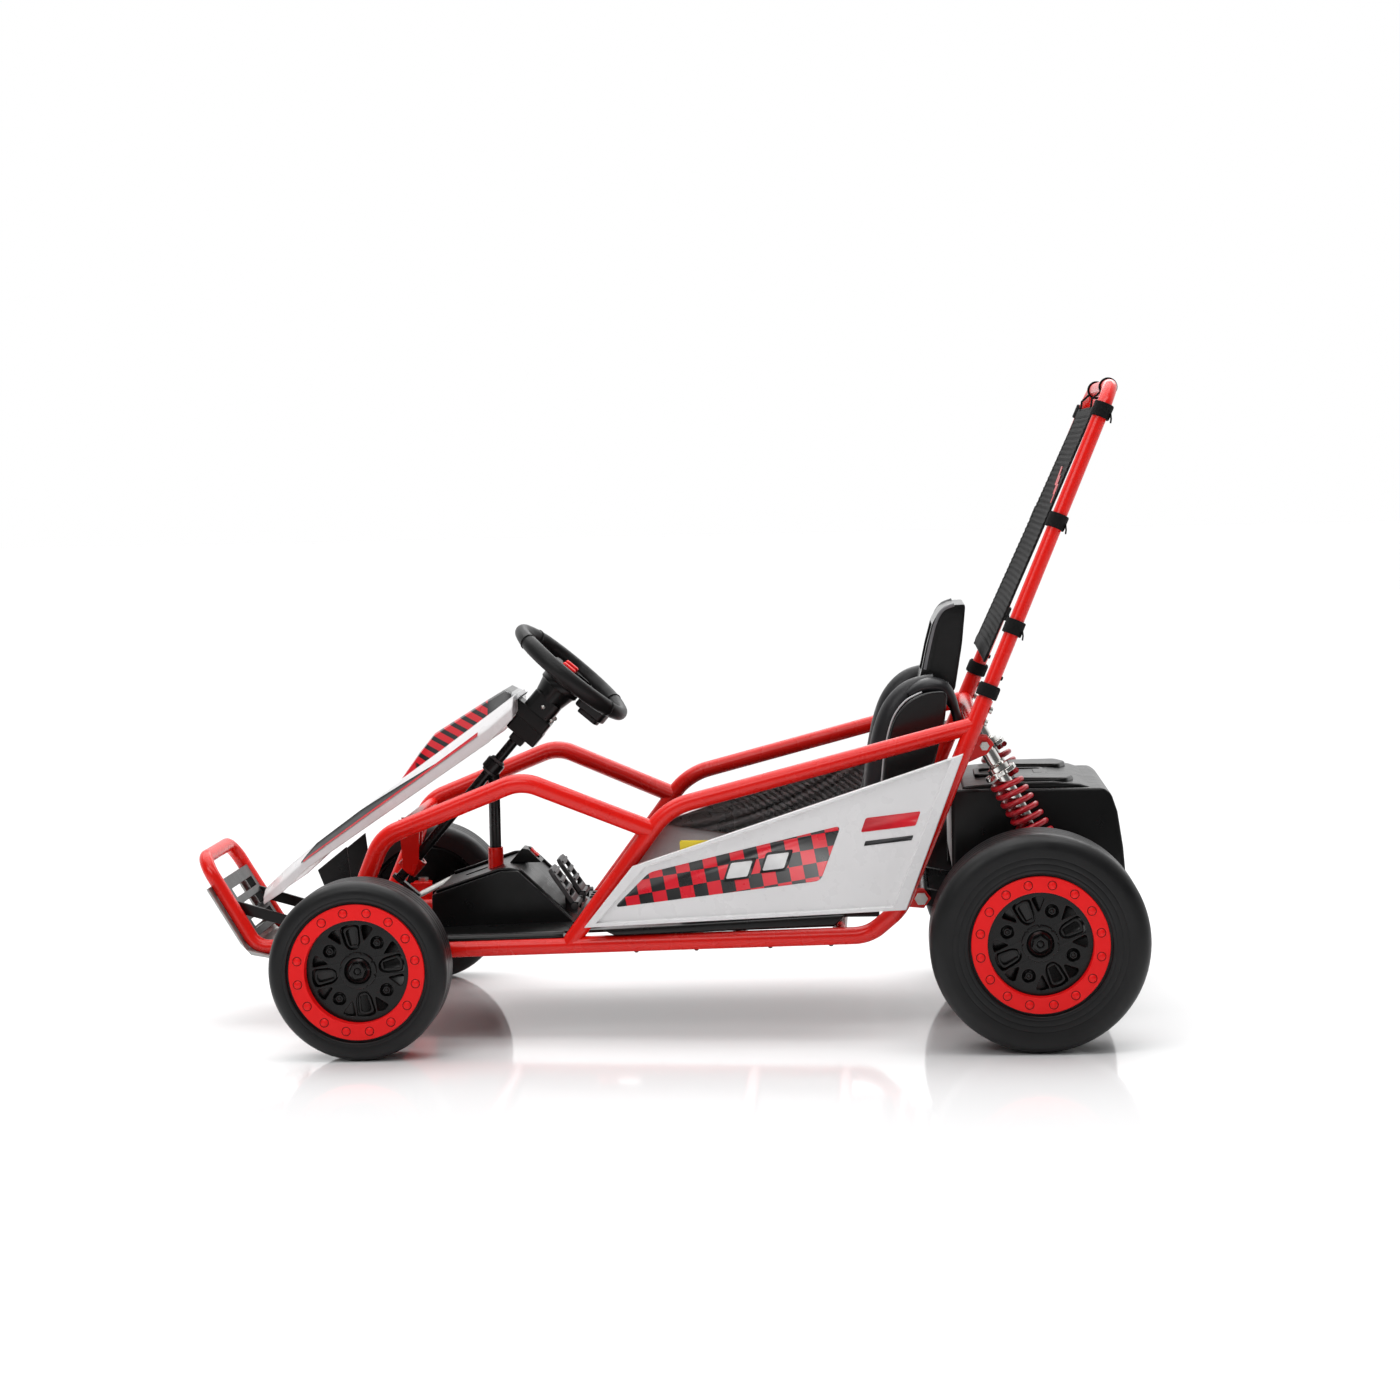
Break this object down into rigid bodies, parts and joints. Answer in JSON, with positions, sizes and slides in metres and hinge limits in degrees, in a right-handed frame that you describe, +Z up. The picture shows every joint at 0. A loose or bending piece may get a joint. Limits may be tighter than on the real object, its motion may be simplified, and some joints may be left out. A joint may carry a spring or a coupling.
{
  "type": "ride-on kart",
  "caption": "Children's electric kart with a bent tube frame, steered front wheels, sprung rear axle with chain drive, bucket seat and a leaning roll hoop with net.",
  "frame": {"origin": "on the ground, midway along the overall length and across the overall width", "axes": "-X to the front of the kart, +Y to the driver's right, +Z up"},
  "size_m": [1.4421, 0.8, 0.968],
  "materials": {
    "red_frame": "glossy powder coat",
    "zinc_fasteners": "zinc plated",
    "nylon": "matte",
    "black_steel": "satin black",
    "black_plastic": "fine grained",
    "silver_plastic": "satin silver",
    "white_plastic": "glossy white",
    "seat_plastic": "glossy and textured black",
    "seat_padding": "grained synthetic leather",
    "battery_case": "matte",
    "net_fabric": "woven mesh",
    "grip": "soft touch",
    "red_plastic": "glossy",
    "tyre": "smooth black",
    "rim_plastic": "semi-gloss black",
    "motor_case": "satin",
    "drive_steel": "oiled steel",
    "shock_chrome": "polished"
  },
  "bodies": {
    "frame": {"lower_rails": "red_frame", "side_rails": "red_frame", "front_arches": "red_frame", "hoop_sleeves": "red_frame", "roll_hoop": "red_frame", "cross_tubes": "red_frame", "front_beam": "red_frame", "frame_brackets": "red_frame", "frame_bolts": "zinc_fasteners", "column_bushes": "nylon", "support_post": "black_steel", "bumper_loop": "red_frame", "bumper_insert": "black_plastic", "skid_plate": "silver_plastic", "nose_fairing": "white_plastic", "fairing_bracket": "black_plastic", "left_side_panel": "white_plastic", "right_side_panel": "white_plastic", "sill_covers": "black_plastic", "floor_pan": "black_plastic", "footrest": "black_plastic", "switch_pod": "black_plastic", "seat_shell": "seat_plastic", "seat_pads": "seat_padding", "battery_box": "black_plastic", "battery": "battery_case", "tail_housing": "black_plastic", "tail_lid": "black_plastic", "net": "net_fabric", "net_straps": "net_fabric"},
    "steering": {"steering_wheel": "grip", "steering_hub": "black_plastic", "steering_column": "black_steel"},
    "left_button": {"left_button": "red_plastic"},
    "right_button": {"right_button": "red_plastic"},
    "left_knuckle": {"left_knuckle": "black_steel"},
    "right_knuckle": {"right_knuckle": "black_steel"},
    "left_tie_rod": {"left_tie_rod": "zinc_fasteners"},
    "right_tie_rod": {"right_tie_rod": "zinc_fasteners"},
    "front_left_wheel": {"front_left_tyre": "tyre", "front_left_rim": "rim_plastic", "front_left_bead_ring": "red_plastic"},
    "front_right_wheel": {"front_right_tyre": "tyre", "front_right_rim": "rim_plastic", "front_right_bead_ring": "red_plastic"},
    "rear_axle_set": {"rear_axle": "zinc_fasteners", "rear_tyres": "tyre", "rear_rims": "rim_plastic", "rear_bead_rings": "red_plastic", "axle_sprocket": "drive_steel"},
    "swing_arm": {"swing_arm": "black_steel", "drive_motor": "motor_case", "drive_chain": "drive_steel"},
    "motor_shaft": {"motor_sprocket": "drive_steel"},
    "shock_bodies": {"shock_bodies": "shock_chrome", "coil_springs": "red_frame"},
    "shock_rods": {"shock_rods": "shock_chrome"},
    "accelerator_pedal": {"accelerator_pedal": "black_plastic"},
    "brake_pedal": {"brake_pedal": "black_plastic"},
    "direction_rocker": {"direction_rocker": "red_plastic"}
  },
  "joints": [
    {"name": "steering_turn", "type": "hinge", "parent": "frame", "child": "steering", "pos_m": [-0.142, 0, 0.535], "axis": [0.6561, 0, 0.7547], "range_deg": [-32, 32]},
    {"name": "left_button_press", "type": "slide", "parent": "steering", "child": "left_button", "axis": [-0.6561, 0, -0.7547], "range_m": [0, 0.0018], "stiffness_N_per_m": 400, "springref_m": -0.002},
    {"name": "right_button_press", "type": "slide", "parent": "steering", "child": "right_button", "axis": [-0.6561, 0, -0.7547], "range_m": [0, 0.0018], "stiffness_N_per_m": 400, "springref_m": -0.002},
    {"name": "left_knuckle_turn", "type": "hinge", "parent": "frame", "child": "left_knuckle", "pos_m": [-0.426, -0.285, 0.131], "axis": [0, 0, 1], "range_deg": [-18, 18]},
    {"name": "right_knuckle_turn", "type": "hinge", "parent": "frame", "child": "right_knuckle", "pos_m": [-0.426, 0.285, 0.131], "axis": [0, 0, 1], "range_deg": [-18, 18]},
    {"name": "left_tie_rod_turn", "type": "hinge", "parent": "left_knuckle", "child": "left_tie_rod", "pos_m": [-0.366, -0.285, 0.18], "axis": [0, 0, 1], "range_deg": [-18, 18]},
    {"name": "right_tie_rod_turn", "type": "hinge", "parent": "right_knuckle", "child": "right_tie_rod", "pos_m": [-0.366, 0.285, 0.18], "axis": [0, 0, 1], "range_deg": [-18, 18]},
    {"name": "front_left_wheel_spin", "type": "hinge", "parent": "left_knuckle", "child": "front_left_wheel", "pos_m": [-0.426, -0.356, 0.131], "axis": [0, 1, 0], "continuous": true},
    {"name": "front_right_wheel_spin", "type": "hinge", "parent": "right_knuckle", "child": "front_right_wheel", "pos_m": [-0.426, 0.356, 0.131], "axis": [0, 1, 0], "continuous": true},
    {"name": "rear_suspension", "type": "hinge", "parent": "frame", "child": "swing_arm", "pos_m": [0.395, 0, 0.195], "axis": [0, -1, 0], "range_deg": [0, 5], "stiffness_Nm_per_rad": 450, "springref_deg": -6.88},
    {"name": "rear_axle_spin", "type": "hinge", "parent": "swing_arm", "child": "rear_axle_set", "pos_m": [0.562, 0, 0.159], "axis": [0, 1, 0], "continuous": true},
    {"name": "motor_spin", "type": "hinge", "parent": "swing_arm", "child": "motor_shaft", "pos_m": [0.492, 0.062, 0.254], "axis": [0, 1, 0], "continuous": true},
    {"name": "shock_swing", "type": "hinge", "parent": "frame", "child": "shock_bodies", "pos_m": [0.491, 0, 0.431], "axis": [0, -1, 0], "range_deg": [0, 1.33]},
    {"name": "shock_travel", "type": "slide", "parent": "shock_bodies", "child": "shock_rods", "axis": [0.4957, 0, -0.8685], "range_m": [-0.0176, 0], "deforming": ["coil_springs"]},
    {"name": "accelerator_press", "type": "hinge", "parent": "frame", "child": "accelerator_pedal", "pos_m": [-0.136, 0.062, 0.181], "axis": [0, -1, 0], "range_deg": [0, 12], "stiffness_Nm_per_rad": 1.5, "springref_deg": -8.59},
    {"name": "brake_press", "type": "hinge", "parent": "frame", "child": "brake_pedal", "pos_m": [-0.136, -0.062, 0.181], "axis": [0, -1, 0], "range_deg": [0, 12], "stiffness_Nm_per_rad": 2.5, "springref_deg": -8.59},
    {"name": "direction_rocker_tilt", "type": "hinge", "parent": "frame", "child": "direction_rocker", "pos_m": [-0.207, 0, 0.253], "axis": [0, 1, 0], "range_deg": [-8, 8]}
  ],
  "couplings": [
    {"joint": "left_knuckle_turn", "follows": "steering_turn", "ratio": 0.5625},
    {"joint": "right_knuckle_turn", "follows": "steering_turn", "ratio": 0.5625},
    {"joint": "left_tie_rod_turn", "follows": "steering_turn", "ratio": -0.5625},
    {"joint": "right_tie_rod_turn", "follows": "steering_turn", "ratio": -0.5625},
    {"joint": "motor_spin", "follows": "rear_axle_spin", "ratio": 4},
    {"joint": "shock_swing", "follows": "rear_suspension", "ratio": 0.266},
    {"joint": "shock_travel", "follows": "rear_suspension", "m_per_rad": -0.2017}
  ]
}
